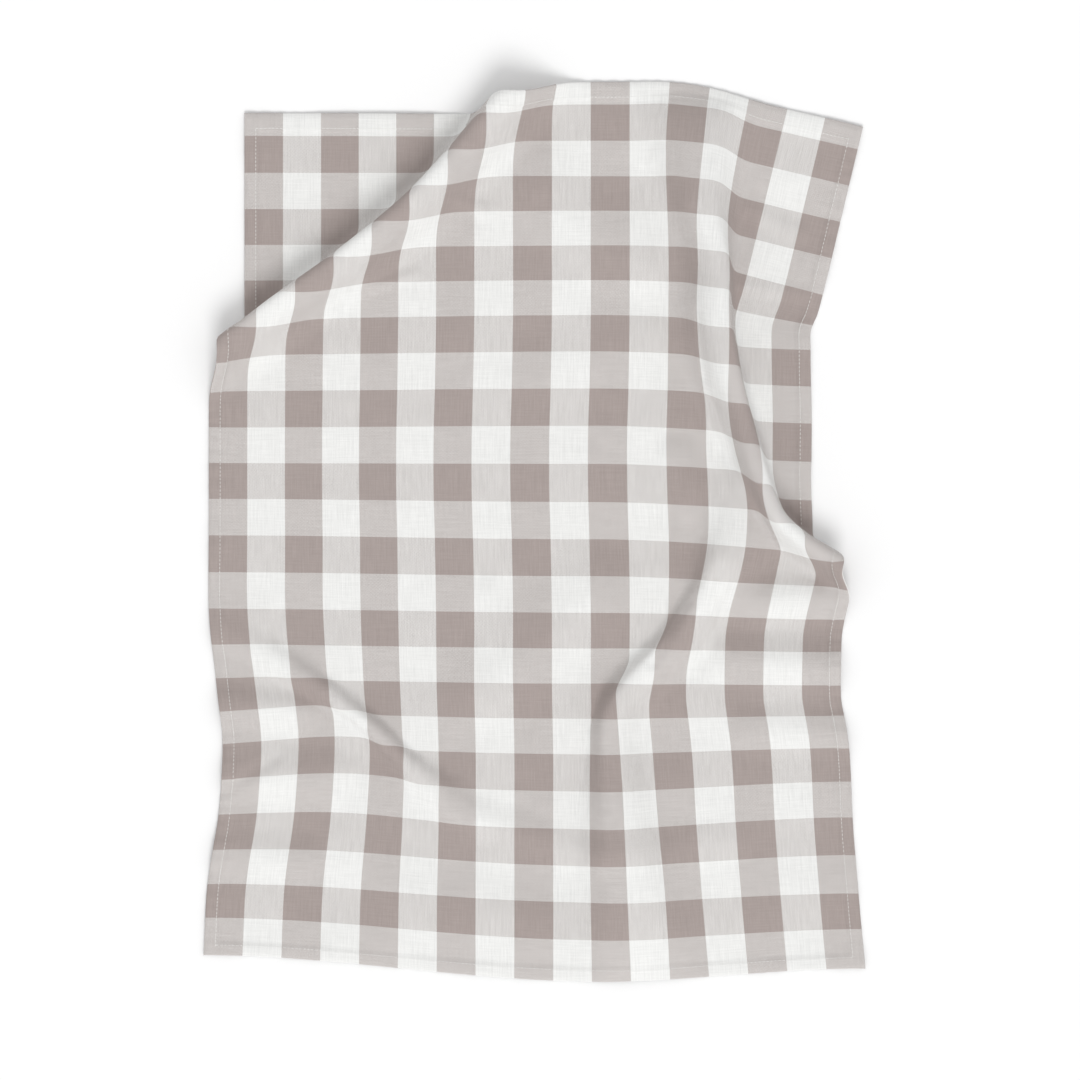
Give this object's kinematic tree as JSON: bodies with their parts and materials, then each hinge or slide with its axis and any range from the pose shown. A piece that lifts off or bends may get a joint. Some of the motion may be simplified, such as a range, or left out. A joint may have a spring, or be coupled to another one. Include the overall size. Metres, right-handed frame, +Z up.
{
  "type": "tea towel",
  "caption": "Checked cotton tea towel lying loosely, one corner drawn under a diagonal ridge and a soft fold down the side.",
  "frame": {"origin": "centre of the towel's outline, on the surface it lies on", "axes": "+X across the towel to its right edge, +Y along it to its top edge, +Z up from the surface"},
  "size_m": [0.501, 0.6815, 0.0358],
  "materials": {
    "checked_cotton": "plain weave cotton with a taupe and white check, matt"
  },
  "bodies": {
    "root": {"towel": "checked_cotton"}
  },
  "joints": []
}
